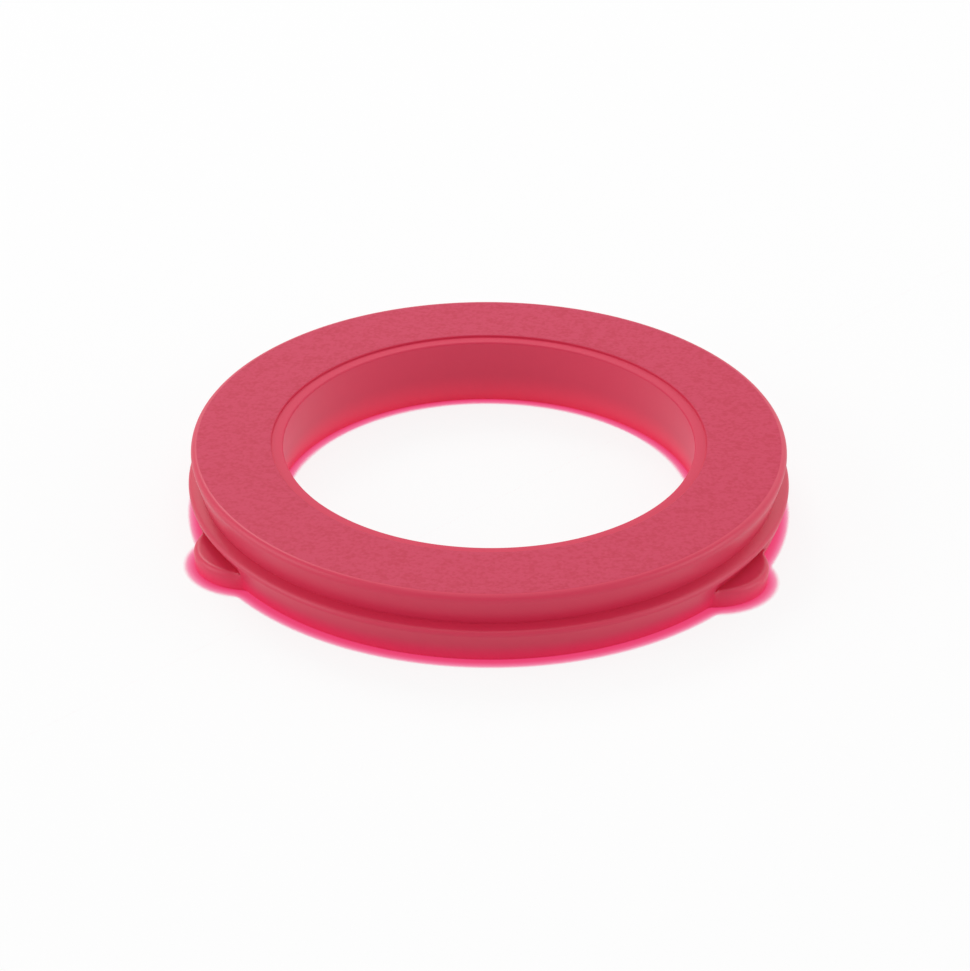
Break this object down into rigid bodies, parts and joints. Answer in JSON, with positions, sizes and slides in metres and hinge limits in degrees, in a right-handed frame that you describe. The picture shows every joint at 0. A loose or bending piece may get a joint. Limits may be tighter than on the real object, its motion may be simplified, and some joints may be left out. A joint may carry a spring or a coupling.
{
  "type": "hose washer",
  "caption": "Moulded rubber hose washer: flat sealing ring with a recessed bore edge, a grooved rim above a flange, and snap-in lugs round its base.",
  "frame": {"origin": "on the bore's axis, at the base that the washer lies on", "axes": "+Z along the bore from the base to the sealing face; one lug lies 33 degrees from +X towards -Y, and the others a third of a turn apart"},
  "size_m": [0.0254, 0.026, 0.0032],
  "materials": {
    "pink_rubber": "matte"
  },
  "bodies": {
    "root": {"hose_washer": "pink_rubber"}
  },
  "joints": []
}
